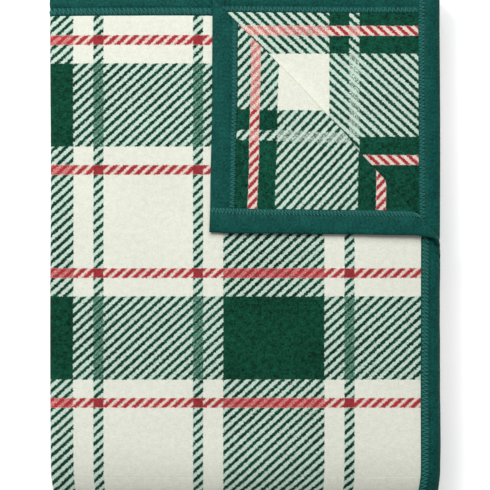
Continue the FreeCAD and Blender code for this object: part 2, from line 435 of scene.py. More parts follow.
# %% Flat places for the weave
HEAD_CREEP = {"a": (0.0, 7.5 * MM), "d": (9.8 * MM, 7.5 * MM)}  # at the edge, and at the right crease
FOOT_CREEP = {"a": (-1.0 * MM, 1.5 * MM), "d": (0.5 * MM, 1.5 * MM)}
CREEP_FROM, CREEP_OVER = 0.38, 0.34  # u over which the creep goes from the edge's to the crease's
WEAVE_WIDTH = 1552 * MM  # where edge D comes in the weave's own repeat
SPARE_FROM, SPARE_OVER = 0.385, 0.345  # distances u over which column C takes up what is left of it


def bound_end(region, side, u):
    """Y of the head edge on row 1 or of the foot edge on row 4, ply by ply."""
    base, creep = (HEAD_Y, HEAD_CREEP) if region == "row_1" else (FOOT_Y, FOOT_CREEP)
    near, far = creep[side]
    return base + near + (far - near) * smooth((u - CREEP_FROM) / CREEP_OVER)


def flat_u(side, region, u, s):
    """Distance from edge A across the weave; column C stretches a little to close the round."""
    if side == "a":
        return u + 0 * s
    spare = WEAVE_WIDTH - side_length("a", region, s) - side_length("d", region, s)
    return WEAVE_WIDTH - u - spare * smooth((u - SPARE_FROM) / SPARE_OVER)


def flat_v(region, side, u, s):
    """Distance down the cloth from the head edge, adding up rows and folds."""
    _, h = across(side, region, u, s)
    long_row = END_Y - MAIN_Y
    head = bound_end("row_1", side, u)
    if region == "row_1" or region.startswith("corner"):
        return head - s
    round_main = np.pi * (6 * PITCH + h)
    v = head - MAIN_Y
    if region == "outer_fold":
        return v + (6 * PITCH + h) * s
    v = v + round_main
    if region == "row_2":
        return v + s - MAIN_Y
    v = v + long_row
    if region == "end_fold":
        return v + (2 * PITCH + h) * s
    v = v + np.pi * (2 * PITCH + h)
    if region == "row_3":
        return v + END_Y - s
    v = v + long_row
    if region == "inner_fold":
        return v + (2 * PITCH - h) * (np.pi - s)
    return v + np.pi * (2 * PITCH - h) + s - MAIN_Y


print(f"the foot edge is {float(flat_v('row_4', 'a', 0.1, FOOT_Y)):.3f} m down the cloth from the head edge")

# %% [markdown]
# ## From arrays to meshes
# Cloth, tape and thread are all closed tubes: a loop of points, half of it on the outside and half coming
# back on the inside, carried along a path. `tube_faces` joins neighbouring loops with quads and closes
# both ends with a ladder of quads. The signed volume says whether the faces point outwards, and they are
# turned if they don't.


# %% Building closed tubes
def tube_faces(tubes, rings, around):
    """Quads of many equal tubes at once, as indices into points stored tube by tube and ring by ring."""
    ring = np.arange(rings - 1)[:, None] * around
    i = np.arange(around)
    j = (i + 1) % around
    walls = np.stack([ring + i, ring + j, ring + around + j, ring + around + i], axis=-1).reshape(-1, 4)
    k = np.arange(around // 2 - 1)
    ladder = np.stack([k, around - 1 - k, around - 2 - k, k + 1], axis=-1)
    last = ladder[:, ::-1] + (rings - 1) * around
    faces = np.concatenate([walls, ladder, last])
    start = np.arange(tubes)[:, None, None] * rings * around
    return (faces + start).reshape(-1, 4), len(walls)


def signed_volume(points, quads):
    """A sixth of the sum of the triple products of each triangle's corners."""
    a, b, c, d = (points[quads[:, i]] for i in range(4))
    return float((np.cross(a, b) * c).sum() + (np.cross(a, c) * d).sum()) / 6


def make_mesh(name, batches):
    """One object from batches of tubes: points (tubes, rings, around, 3), flat places, a slot per column."""
    parts, count = [], 0
    for points, places, slots in batches:
        tubes, rings, around = points.shape[:3]
        flat = points.reshape(-1, 3)
        quads, walls = tube_faces(tubes, rings, around)
        if signed_volume(flat, quads) < 0:
            quads = quads[:, ::-1]
        per_tube = len(quads) // tubes
        slot = np.zeros((tubes, per_tube), int)
        slot[:, :walls] = np.tile(np.asarray(slots), rings - 1)
        is_wall = np.zeros((tubes, per_tube), bool)
        is_wall[:, :walls] = True
        parts.append((flat, quads + count, places.reshape(-1, 2), slot.ravel(), is_wall.ravel()))
        count += len(flat)
    points, quads, places, slots, smooth_faces = (np.concatenate(part) for part in zip(*parts))
    mesh = bpy.data.meshes.new(name)
    mesh.vertices.add(len(points))
    mesh.vertices.foreach_set("co", points.astype(np.float32).ravel())
    mesh.loops.add(quads.size)
    mesh.loops.foreach_set("vertex_index", quads.astype(np.int32).ravel())
    mesh.polygons.add(len(quads))
    mesh.polygons.foreach_set("loop_start", np.arange(0, quads.size, 4, dtype=np.int32))
    mesh.polygons.foreach_set("material_index", slots.astype(np.int32))
    mesh.polygons.foreach_set("use_smooth", smooth_faces)
    uv = mesh.uv_layers.new(name="flat_cloth")
    uv.data.foreach_set("uv", places[quads.ravel()].astype(np.float32).ravel())
    mesh.update(calc_edges=True)
    mesh.validate()
    piece = bpy.data.objects.new(name, mesh)
    bpy.context.scene.collection.objects.link(piece)
    return piece


# %% [markdown]
# ## The finishes
# The cloth is a jacquard, and its two faces show opposite colours. All of its look comes from one rule
# about the flat place (U, V). Wide and thin green stripes run down it, a green band and two red lines run
# across it, and everywhere a slanting hatch a centimetre apart decides which yarn shows. Painting an
# image would be easier, but a rule stays sharp at any distance. `Rule` below writes math nodes, so that
# the rule reads like arithmetic.


# %% Writing math nodes
class Rule:
    """Adds math nodes to a material's tree; every method returns an output socket."""

    def __init__(self, material, shader):
        self.tree = material.node_tree
        self.shader = shader
        self.column = 0

    def node(self, kind, **settings):
        """A new node, set out on the page after the last one."""
        made = self.tree.nodes.new(kind)
        self.column += 1
        made.location = (-1800 + 60 * (self.column % 28), 300 - 90 * (self.column // 28))
        for key, value in settings.items():
            setattr(made, key, value)
        return made

    def put(self, socket, value):
        """Links an output to an input, or sets the input's own number."""
        if isinstance(value, bpy.types.NodeSocket):
            self.tree.links.new(value, socket)
        else:
            socket.default_value = value

    def math(self, operation, *values, clamp=False):
        """One operation on outputs or numbers."""
        made = self.node("ShaderNodeMath", operation=operation, use_clamp=clamp)
        for socket, value in zip(made.inputs, values):
            self.put(socket, value)
        return made.outputs[0]

    def mix(self, share, low, high):
        """The low colour where the share is 0 and the high one where it is 1."""
        made = self.node("ShaderNodeMix", data_type="RGBA")
        self.put(made.inputs["Factor"], share)
        colours = [socket for socket in made.inputs if socket.type == "RGBA"]
        self.put(colours[0], low)
        self.put(colours[1], high)
        return next(socket for socket in made.outputs if socket.type == "RGBA")

    def noise(self, vector, scale, detail=2.0, rough=0.5):
        """Smooth noise from 0 to 1 with this many lumps to a metre."""
        made = self.node("ShaderNodeTexNoise")
        self.put(made.inputs["Vector"], vector)
        for key, value in (("Scale", scale), ("Detail", detail), ("Roughness", rough)):
            made.inputs[key].default_value = value
        return made.outputs["Fac"]

    def near(self, value, repeat, centre, half_width, soft=0.7):
        """1 within half_width of the centre of each repeat, easing to 0 over the soft width."""
        offset = self.math("SUBTRACT", value, centre - repeat / 2)
        folded = self.math("WRAP", offset, repeat, 0.0)
        away = self.math("ABSOLUTE", self.math("SUBTRACT", folded, repeat / 2))
        return self.math("MULTIPLY_ADD", away, -1 / soft, half_width / soft + 0.5, clamp=True)

    def either(self, a, b):
        """The larger of two shares."""
        return self.math("MAXIMUM", a, b)

    def both(self, a, b):
        """The product of two shares."""
        return self.math("MULTIPLY", a, b)

    def unless(self, a):
        """What is left of 1."""
        return self.math("SUBTRACT", 1.0, a)

    def beside(self, value, repeat, centre, away, half_width):
        """Two lines at the same distance on either side of each repeat's centre."""
        sides = (self.near(value, repeat, centre + step, half_width) for step in (-away, away))
        return self.either(*sides)

    def flat_place(self):
        """The piece's own flat place, and its two parts."""
        place = self.node("ShaderNodeUVMap", uv_map="flat_cloth").outputs["UV"]
        split = self.node("ShaderNodeSeparateXYZ")
        self.put(split.inputs[0], place)
        return place, split.outputs[0], split.outputs[1]

    def raise_by(self, height, strength, distance):
        """Shades the surface as if it stood up by a height."""
        bump = self.node("ShaderNodeBump")
        bump.inputs["Strength"].default_value = strength
        bump.inputs["Distance"].default_value = distance
        self.put(bump.inputs["Height"], height)
        self.put(self.shader.inputs["Normal"], bump.outputs["Normal"])


def linear(red, green, blue, alpha=1.0):
    """A colour in 8-bit display numbers, as the linear values that a shader takes."""
    channels = [c / 255 for c in (red, green, blue)]
    light = [c / 12.92 if c <= 0.04045 else ((c + 0.055) / 1.055) ** 2.4 for c in channels]
    return (*light, alpha)


def new_material(name, roughness, sheen, sheen_roughness):
    """A cloth-like Principled material, with its constants on the shader's own sockets."""
    material = bpy.data.materials.new(name)
    material.use_nodes = True
    shader = material.node_tree.nodes["Principled BSDF"]
    shader.inputs["Roughness"].default_value = roughness
    shader.inputs["Sheen Weight"].default_value = sheen
    shader.inputs["Sheen Roughness"].default_value = sheen_roughness
    shader.inputs["Specular IOR Level"].default_value = 0.12
    return material, shader


# %% [markdown]
# The plaid's numbers are the real repeat in millimetres. Its face shows cream where nothing is woven in
# and its reverse shows green. `face` picks which of the two the material is for.

# %% The plaid
WIDE = (245.0, 166.9, 49.4)  # repeat, first centre and half width of the wide stripe, in U
THIN_AWAY = 73.9  # the thin stripes lie this far each side of it
THIN_HALF = 4.9
BAND = (227.3, 105.8, 40.6)  # the same for the band across, in V
LINE_AWAY = 63.3  # the red lines lie this far each side of it
LINE_HALF = 4.7
HATCH_U, HATCH_V = 9.7, 9.0  # spacing of the slanting hatch, across and down
HATCH_SHARE = 0.50  # how much of it shows the darker yarn
HATCH_SHARE_RED = 0.60  # the red yarn spreads wider
CREAM = linear(236, 238, 224)
CREAM_TINTED = linear(206, 226, 212)
GREEN = linear(13, 66, 48)
GREEN_BACK = linear(15, 71, 53)
MIDDLE = linear(44, 104, 80)  # the two green shades of the blurred crossings, and the pale one of the reverse
MIDDLE_LIGHT = linear(118, 166, 146)
MIDDLE_PALE = linear(208, 224, 212)
RED = linear(172, 50, 58)
RED_DARK = linear(156, 51, 57)
PINK_GROUND = linear(236, 212, 198)
PINK = linear(224, 156, 150)
PINK_DEEP = linear(190, 84, 84)


def plaid_material(name, face):
    """Brushed jacquard: stripes, bands and hatch from the flat place, with fleecy colour and a soft nap."""
    material, shader = new_material(name, roughness=0.95, sheen=0.16, sheen_roughness=0.22)
    rule = Rule(material, shader)
    place, across_cloth, down_cloth = rule.flat_place()
    fray = rule.math("MULTIPLY", rule.math("SUBTRACT", rule.noise(place, 620.0), 0.5), 2.6)
    u = rule.math("ADD", rule.math("MULTIPLY", across_cloth, 1000.0), fray)
    v = rule.math("SUBTRACT", rule.math("MULTIPLY", down_cloth, 1000.0), fray)
    wide = rule.near(u, *WIDE)
    thin = rule.beside(u, WIDE[0], WIDE[1], THIN_AWAY, THIN_HALF)
    band = rule.near(v, *BAND)
    line = rule.beside(v, BAND[0], BAND[1], LINE_AWAY, LINE_HALF)
    slant = rule.math("SUBTRACT", rule.math("DIVIDE", v, HATCH_V), rule.math("DIVIDE", u, HATCH_U))
    on = rule.near(slant, 1.0, HATCH_SHARE / 2, HATCH_SHARE / 2, soft=0.15)
    off = rule.unless(on)
    red_on = rule.near(slant, 1.0, HATCH_SHARE / 2, HATCH_SHARE_RED / 2, soft=0.22)
    speckle = rule.math("MULTIPLY_ADD", rule.noise(place, 1100.0, 1.0), 5.0, -1.95, clamp=True)
    striped = rule.either(rule.either(wide, thin), band)
    crossing = rule.both(wide, band)
    half = rule.both(off, rule.both(thin, band))
    green = rule.either(rule.both(on, striped), crossing)
    off_lines = rule.unless(line)
    if face:
        figure, middle = GREEN, rule.mix(speckle, MIDDLE_LIGHT, MIDDLE)
        red = rule.either(rule.either(red_on, thin), wide)
        red_colour = rule.mix(rule.both(wide, off), RED, rule.mix(speckle, PINK_DEEP, PINK))
        red_colour = rule.mix(thin, red_colour, RED_DARK)
    else:
        figure, middle = GREEN_BACK, rule.mix(speckle, MIDDLE_PALE, MIDDLE)
        green = rule.unless(green)
        plain = rule.unless(rule.either(wide, thin))
        red = rule.either(rule.both(plain, off), rule.unless(plain))
        pinks = rule.mix(rule.both(off, speckle), PINK, PINK_DEEP)
        red_colour = rule.mix(plain, rule.mix(rule.both(on, speckle), pinks, CREAM), RED)
    pale = rule.mix(rule.both(striped, rule.unless(crossing)), CREAM, CREAM_TINTED)
    colour = rule.mix(rule.both(green, off_lines), pale, figure)
    colour = rule.mix(rule.both(half, off_lines), colour, middle)
    colour = rule.mix(rule.math("MULTIPLY", line, 0.75), colour, PINK_GROUND)
    colour = rule.mix(rule.both(line, red), colour, red_colour)
    fleece = rule.noise(place, 520.0, 3.0, 0.7)
    clumps = rule.noise(place, 190.0)
    worn = rule.noise(place, 14.0)
    dark = rule.either(rule.both(green, off_lines), rule.math("MULTIPLY", rule.both(line, red), 0.3))
    lift = rule.math("SUBTRACT", clumps, 0.5)
    lift = rule.math("MULTIPLY_ADD", rule.math("SUBTRACT", fleece, 0.5), 1.8, lift)
    lift = rule.math("MULTIPLY_ADD", rule.math("SUBTRACT", worn, 0.5), 0.6, lift)
    strength = rule.math("MULTIPLY_ADD", dark, 1.8, 0.20)
    value = rule.math("MULTIPLY_ADD", lift, strength, 1.0)
    vary = rule.node("ShaderNodeHueSaturation")
    rule.put(vary.inputs["Value"], value)
    rule.put(vary.inputs["Color"], colour)
    rule.put(shader.inputs["Base Color"], vary.outputs["Color"])
    rib = rule.math("SINE", rule.math("MULTIPLY", slant, 2 * math.pi * 7))
    height = rule.math("MULTIPLY_ADD", clumps, 0.8, fleece)
    height = rule.math("MULTIPLY_ADD", rib, 0.12, height)
    height = rule.math("MULTIPLY_ADD", dark, 0.25, height)
    rule.raise_by(height, 0.55, 0.5 * MM)
    return material


FACE_CLOTH = plaid_material("plaid_face", True)
BACK_CLOTH = plaid_material("plaid_reverse", False)

# %% [markdown]
# The binding is a smooth woven tape with fine ribs along it, in a dark teal, and the thread is a lighter
# teal with a twist.

# %% Tape and thread
TAPE_COLOUR = linear(0, 54, 48)
TAPE_LIGHT = linear(17, 93, 85)
THREAD_COLOUR = linear(68, 144, 136)
THREAD_DARK = linear(22, 98, 92)
RIB, PUCKER = 0.9 * MM, 4.0 * MM  # spacing of the ribs along the tape and of the puckers across it
TURNS = 5.0  # how fast the thread's twist winds along it


def tape_material():
    """Satin tape: ribs along it, faint colour variation and puckers between the stitches."""
    material, shader = new_material("binding_tape", roughness=0.68, sheen=0.02, sheen_roughness=0.25)
    rule = Rule(material, shader)
    place, across_tape, down_tape = rule.flat_place()
    ribs = rule.math("SINE", rule.math("MULTIPLY", across_tape, 2 * math.pi / RIB))
    puckers = rule.math("SINE", rule.math("MULTIPLY", down_tape, 2 * math.pi / PUCKER))
    mottle = rule.noise(place, 420.0, 3.0, 0.6)
    soft = rule.noise(place, 60.0)
    share = rule.math("MULTIPLY_ADD", rule.math("SUBTRACT", mottle, 0.5), 2.2, soft, clamp=True)
    rule.put(shader.inputs["Base Color"], rule.mix(share, TAPE_COLOUR, TAPE_LIGHT))
    height = rule.math("MULTIPLY_ADD", ribs, 0.10, rule.math("MULTIPLY", mottle, 0.6))
    height = rule.math("MULTIPLY_ADD", puckers, 0.18, height)
    rule.raise_by(height, 0.5, 0.4 * MM)
    return material


def thread_material():
    """Twisted thread: dark and light plies wound round it."""
    material, shader = new_material("seam_thread", roughness=0.55, sheen=0.15, sheen_roughness=0.4)
    rule = Rule(material, shader)
    _, round_thread, down_thread = rule.flat_place()
    wound = rule.math("MULTIPLY_ADD", down_thread, TURNS, round_thread)
    twist = rule.math("SINE", rule.math("MULTIPLY", wound, 2 * math.pi))
    share = rule.math("MULTIPLY_ADD", twist, 0.35, 0.5)
    rule.put(shader.inputs["Base Color"], rule.mix(share, THREAD_DARK, THREAD_COLOUR))
    return material


TAPE = tape_material()
THREAD = thread_material()
print("finishes", [m.name for m in (FACE_CLOTH, BACK_CLOTH, TAPE, THREAD)])

# %% [markdown]
# ## The cloth
# Each piece of cloth is a grid: columns at distances u from the two long edges, and rows of points along
# its region. The columns are close together at the creases and the hanging edges, and far apart where the
# cloth is flat. Under the tape the cloth is pressed thin. Row 1 starts at the head edge, or at the
# diagonal fold where its corner is turned back.

# %% Grids for the cloth
HEM = 0.8 * MM  # the cloth stops this far short of the tape's outer edge
RIM = 1.0 * MM  # half its thickness inside the tape
END_TAPE_FACE = 19 * MM
END_TAPE_BACK = 25 * MM
# A column's number tells where it is: 0 at the hem, 1 past the hanging edge, 2 and 3 at the ends of the left
# crease, 4 and 5 at the start and the middle of the right crease.
COLUMN_COUNTS = (14, 47, 12, 35, 4)
COLUMNS = np.concatenate(
    [np.linspace(mark, mark + 1, count + 1)[:-1] for mark, count in enumerate(COLUMN_COUNTS)] + [[5.0]]
)
HANGING = 26 * MM  # distance u past the edge that hangs
PRESS_FROM, PRESS_OVER = 2.5 * MM, 4 * MM  # the cloth thins from this far outside the tape, over this width


def column_u(side, region, columns, s):
    """Distance u of numbered columns: a straight share of the way between the two marks on either side."""
    first = crease_at(side, region, s)
    bent = first + np.pi * CREASE[side]
    end = side_length(side, region, s)
    flat = np.zeros(np.shape(s))
    marks = [flat + HEM, flat + HANGING, first + flat, bent + flat, end - np.pi / 4 * PITCH, end + flat]
    marks = np.stack(marks)
    index = np.minimum(columns.astype(int), 4)
    share = columns - index
    column = np.arange(len(columns))
    if s.ndim == 1:
        return marks[index, column] * (1 - share) + marks[index + 1, column] * share
    return marks[index, :, column].T * (1 - share) + marks[index + 1, :, column].T * share


def half_thickness(u, from_end, end_tape):
    """The cloth's half thickness, easing to the pressed rim under the side tape and the end tape."""
    at_side = smooth((SIDE_TAPE + PRESS_FROM - u) / PRESS_OVER)
    at_end = smooth((end_tape + PRESS_FROM - from_end) / PRESS_OVER)
    return HALF - (HALF - RIM) * np.maximum(at_side, at_end)


def cloth_sheet(region, side, u, s, from_end):
    """Face and reverse points of one side of a region, with their flat places."""
    face = lay(region, side, u, s, half_thickness(u, from_end, END_TAPE_FACE))
    back = lay(region, side, u, s, -half_thickness(u, from_end, END_TAPE_BACK))
    return face, back, np.stack([flat_u(side, region, u, s), flat_v(region, side, u, s)], axis=-1)


def closed_sheet(name, face, back, places):
    """One closed mesh from a grid of face points and the same grid of reverse points."""
    loop = np.concatenate([face, back[:, ::-1]], axis=1)[None]
    places = np.concatenate([places, places[:, ::-1]], axis=1)[None]
    columns = face.shape[1]
    piece = make_mesh(name, [(loop, places, np.r_[np.zeros(columns, int), np.ones(columns, int)])])
    piece.data.materials.append(FACE_CLOTH)
    piece.data.materials.append(BACK_CLOTH)
    return piece


def cloth_piece(name, region, starts, stations):
    """A closed sheet from edge A to edge D, from each side's start through stations from 0 to 1."""
    parts = []
    last = MAIN_Y if region in ROWS else np.pi
    for side in "ad":
        columns = COLUMNS if side == "a" else COLUMNS[-2::-1]
        guess = column_u(side, region, columns, np.full(len(columns), 0.0 if region in ROWS else np.pi / 2))
        start = starts(side, guess)
        s = start + (last - start) * stations[:, None]
        u = column_u(side, region, columns, s)
        from_end = bound_end(region, side, u) - s if region in ("row_1", "row_4") else np.full(s.shape, 1.0)
        parts.append(cloth_sheet(region, side, u, s, from_end))
    return closed_sheet(name, *(np.concatenate(part, axis=1) for part in zip(*parts)))


def row_start(region):
    """Where each column of a row's cloth starts: a bound end, the diagonal fold or the end fold."""

    def start(side, u):
        """First place of each column of one side."""
        if region in ("row_2", "row_3"):
            return np.full(u.shape, END_Y)
        end = bound_end(region, side, u) - HEM
        if region == "row_1" and side == "a":
            return np.where(u < fold_u(np.array([HEAD_Y]), 0)[0] + 0.02, np.minimum(end, fold_y(u, 0)), end)
        return end

    return start


def with_ends(stations, gap=0.0012):
    """The same stations with one more just inside each end, so that neighbours shade alike."""
    return np.concatenate([[0, gap], stations[1:-1], [1 - gap, 1]])


def row_stations():
    """Stations along a row, dense at its far end, where it rolls off, and at its bound end."""
    parts = [np.linspace(0, 0.07, 9), np.linspace(0.07, 0.9, 64)[1:], np.linspace(0.9, 1, 16)[1:]]
    return with_ends(np.concatenate(parts))


def fold_start(side, u):
    """Every column of a fold starts at angle 0."""
    return np.zeros(u.shape)


cloth = {}
for region in ROWS:
    cloth[region] = cloth_piece("blanket_" + region, region, row_start(region), row_stations())
for region, turns in (("outer_fold", 33), ("inner_fold", 9), ("end_fold", 17)):
    stations = with_ends(np.linspace(0, 1, turns), 0.008)
    cloth[region] = cloth_piece("blanket_" + region, region, fold_start, stations)
print({name: len(piece.data.polygons) for name, piece in cloth.items()})

# %% [markdown]
# The corner and its fold are patches of the same top ply. Each column keeps its own distance u from edge
# A, and its points run from the head edge to the fold line, so the patch ends exactly where the next one
# starts.


# %% The corner's cloth
TIP = 3 * MM  # the flap's last column is this long
UNDER_TAPE = 24 * MM
LOOP_HEM = 6 * MM  # in the loop the cloth stops well inside the tape
CREST = 0.3667  # no rings between this share of the loop and its mirror, so that it opens as one flat strip
LOOP_STATIONS = np.concatenate([with_ends(np.linspace(0, CREST, 9), 0.02)[:-2], [CREST]])
LOOP_STATIONS = np.concatenate([LOOP_STATIONS, 1 - LOOP_STATIONS[::-1]])


def flap_grid(stations):
    """u and s of the flap: columns from the head edge down to the end of the loop."""
    end = fold_u(np.array([HEAD_Y - TIP]), 1)[0]
    u = np.concatenate([np.linspace(HEM, UNDER_TAPE, 13)[:-1], np.linspace(UNDER_TAPE, end, 60)])[None, :]
    top = HEAD_Y - HEM
    return u, top + (fold_y(u, 1) - top) * stations[:, None]


def loop_grid(stations):
    """u and s of the loop: lines at a steady share of its length, from the side edge to the head edge."""
    share = stations[:, None]
    end = fold_u(HEAD_Y - LOOP_HEM + 0 * share, share)
    u = LOOP_HEM + (end - LOOP_HEM) * np.linspace(0, 1, 90)[None, :] ** 1.1
    return u, fold_y(u, share)


for region, (u, s) in (
    ("corner", flap_grid(with_ends(np.linspace(0, 1, 60)))),
    ("corner_fold", loop_grid(LOOP_STATIONS)),
):
    sheet = cloth_sheet(region, "a", np.broadcast_to(u, s.shape), s, HEAD_Y - s)
    cloth[region] = closed_sheet("blanket_" + region, *sheet)
print({name: len(cloth[name].data.polygons) for name in ("corner", "corner_fold")})


# %% [markdown]
# ## The binding
# The tape is folded lengthwise over the edge of the cloth, so its section is a U. Over the stitches it is
# pressed into the cloth, along the last row of needle holes it makes a groove, and outside that it stays
# full and round. The sections below list points as (distance from the tape's outer edge, height over the
# pressed cloth), once for each side of the cloth.

# %% The tape's section
FACE_SECTION = [(23.5, 0.0), (23.4, 0.45), (21.0, 0.62), (18.0, 0.75), (15.6, 0.62), (14.5, 0.50),
                (14.0, 0.06), (13.4, 0.50), (11.0, 0.95), (7.5, 1.15), (3.6, 1.00), (1.4, 0.62), (0.35, 0.15)]
BACK_SECTION = [(23.5, 0.0), (23.4, 0.42), (21.5, 0.60), (19.6, 0.55), (18.4, 0.45), (17.9, 0.06),
                (17.3, 0.45), (14.0, 0.85), (10.0, 1.05), (6.0, 1.05), (3.0, 0.85), (1.2, 0.50), (0.3, 0.10)]
WRINKLE = 1.1  # height of the wrinkles by the diagonal fold, as a share of the tape's own
WRINKLE_APART = 5.6 * MM
WRINKLES_DIE = 24 * MM  # how far from the fold they reach
STITCH_PULL = 3.8 * MM  # spacing of the dimples that the stitches pull into the tape


def section(points, width):
    """Distances and heights of a section in metres, widened or narrowed to a tape's own width."""
    points = np.array(points) * MM
    points[:, 0] *= width / SIDE_TAPE
    return points


SECTIONS = {
    "side": (section(FACE_SECTION, SIDE_TAPE), section(BACK_SECTION, SIDE_TAPE)),
    "end": (section(FACE_SECTION, END_TAPE_FACE), section(BACK_SECTION, END_TAPE_BACK)),
}


def tape_loop(kind):
    """Distance, pressed depth and height over it, round the U's outer skin and back along its inner skin."""
    face, back = SECTIONS[kind]
    distance = np.concatenate([face[:, 0], [-0.15 * MM], back[::-1, 0]])
    over = np.concatenate([face[:, 1], [0.0], back[::-1, 1]])
    side = np.concatenate([np.ones(len(face)), [0.0], -np.ones(len(back))])
    inner = np.maximum(distance, 0.35 * MM) + np.where(side == 0, 0.1 * MM, 0.0)
    distance = np.concatenate([distance, inner[::-1]])
    depth = np.concatenate([side * RIM, side[::-1] * RIM * 0.75])
    return distance, depth, np.concatenate([side * over, 0 * over])


def gathers(u, s):
    """Wrinkles in row 1's tape beside the diagonal fold, parallel to it and dying out away from it."""
    x = CORNER_EDGE - u
    beyond = (x + s) * ROOT_HALF - loop_axis((s - x) * ROOT_HALF)
    close = smooth(1 + beyond / WRINKLES_DIE) * (beyond < 0)
    return WRINKLE * close * np.sin(2 * np.pi * beyond / WRINKLE_APART) * smooth(-beyond / (2 * MM))


def puff(kind, region, u, s, along, distance, seed):
    """Share of its full height that the tape keeps: less where it is pressed, and uneven along it."""
    open_air = np.ones(np.shape(s)) if region.startswith("corner") else on_row_1(region, s)
    if kind == "end":
        open_air = open_air - (0.4 + open_air) * (1 - smooth((u - SIDE_TAPE + 1.5 * MM) / (3 * MM)))
    pull = 0.10 * np.sin(2 * np.pi * along / STITCH_PULL) * smooth(distance / (10 * MM))
    slow = 0.16 * np.sin(along / (13 * MM) + seed) + 0.12 * np.sin(along / (5.3 * MM) + 2.1 * seed)
    if region == "row_1":
        slow = slow + gathers(u, s) * smooth(distance / (7 * MM))
    return (0.55 + 0.45 * open_air) * (1 + pull + slow)


print(len(tape_loop("side")[0]), "points round a tape's section")

# %% [markdown]
# A side tape runs on from region to region, and so does the row of stitches on it. Both follow the same
# list of runs. A run is a region with the places where it starts and ends, and these may depend on the
# distance from the edge, as they do at the diagonal fold.


# %% Runs of a bound edge
def side_point(run, distance, share):
    """u and s of a point on a bound long edge, at a share of the way along a run."""
    _, _, starts, ends = run
    start, end = starts(distance), ends(distance)
    return distance + 0 * share, start + (end - start) * share


def end_point(run, distance, share):
    """u and s of a point on the head edge, of row 1 and its corner, or on the foot edge, of row 4."""
    region, side, starts, ends = run
    edge = "row_4" if region == "row_4" else "row_1"
    s = bound_end(edge, side, 0.0) - distance
    first, last = starts(s), ends(s)
    u = first + (last - first) * share
    return u, bound_end(edge, side, u) - distance


POINT = {"side": side_point, "end": end_point}
MID_TAPE = 8 * MM  # a run is measured at this distance from the edge
RING_STEP, RING_STEP_TOP = 2.6 * MM, 1.3 * MM  # between rings, and on row 1, where the wrinkles show


def along_edge(kind, region, side, u, s):
    """How far along its bound edge a point lies on the flat cloth."""
    return flat_v(region, side, u, s) if kind == "side" else flat_u(side, region, u, s)


def run_length(kind, run):
    """Length of a run along its middle, from a fine polyline."""
    u, s = POINT[kind](run, np.full(40, MID_TAPE), np.linspace(0, 1, 40))
    path = lay(run[0], run[1], u, s, 0.0)
    return float(np.linalg.norm(np.diff(path, axis=0), axis=1).sum())


def ring_shares(kind, run, rings):
    """Even steps along a run, with more rings where an end tape goes round the left and right creases."""
    region, side, starts, ends = run
    if region == "corner_fold":
        return LOOP_STATIONS
    shares = with_ends(np.linspace(0, 1, rings), 0.02 / rings)
    if kind == "end" and region in ROWS:
        s = np.array([bound_end(region, side, 0.0) - MID_TAPE])
        first, last = starts(s)[0], ends(s)[0]
        left, right = crease_at(side, region, s)[0], side_length(side, region, s)[0]
        round_left = np.linspace(left - 1 * MM, left + np.pi * CREASE[side] + 1 * MM, 17)
        round_right = right - np.linspace(5, 0.4, 8) * MM
        more = (np.concatenate([round_left, round_right]) - first) / (last - first)
        shares = np.sort(np.concatenate([shares, more[(more > 0) & (more < 1)]]))
    return shares


def tape_piece(name, kind, runs, seed):
    """The U section carried along its runs as one closed tube."""
    step = RING_STEP_TOP if runs[0][0] == "row_1" else RING_STEP
    distance, depth, over = tape_loop(kind)
    points, places = [], []
    for number, run in enumerate(runs):
        region, side = run[:2]
        share = ring_shares(kind, run, max(int(run_length(kind, run) / step), 8))[:, None]
        share = share if number == len(runs) - 1 else share[:-1]
        u, s = POINT[kind](run, np.broadcast_to(distance, (len(share), len(distance))), share)
        along = along_edge(kind, region, side, u, s)
        height = depth + over * puff(kind, region, u, s, along, distance, seed)
        points.append(lay(region, side, u, s, height))
        places.append(np.stack([distance + 0 * along, along], axis=-1))
    tube = np.concatenate(points)[None], np.concatenate(places)[None], np.zeros(len(distance), int)
    piece = make_mesh(name, [tube])
    piece.data.materials.append(TAPE)
    return piece


# %% [markdown]
# The zigzag is one bar square to the edge and one slanting leg back, over and over. Each bar with its leg
# is a small closed tube, four-sided, because there are thousands of them. They lie half sunk in the tape,
# on both sides of the cloth. They keep clear of the crest of the diagonal fold, which opens flat.

# %% Zigzag stitches
PITCHES = {"side": 3.6 * MM, "end": 4.1 * MM}
FACE_ZONE = {"side": (1.0, 7.6), "end": (0.7, 7.8)}  # distances from the tape's inner edge, in mm
BACK_ZONE = {"side": (0.8, 6.2), "end": (0.4, 5.6)}
THREAD_HALF = 0.44 * MM
THREAD_ARCH, THREAD_SUNK = 0.30, 0.12  # how far a stitch arches up between holes, and sinks at them, in mm
LEG_FROM, LEG_OVER = 0.16, 0.74  # shares of a stitch's pitch taken by the bar and by the leg back
SQUEEZED = 0.7  # round the diagonal fold the stitches keep to this share of their half
RING = np.array([0, 0.25, 0.5, 0.75, 1.0, 1.35, 1.65, 1.9])  # 0 to 1 is the bar, 1 to 2 the leg


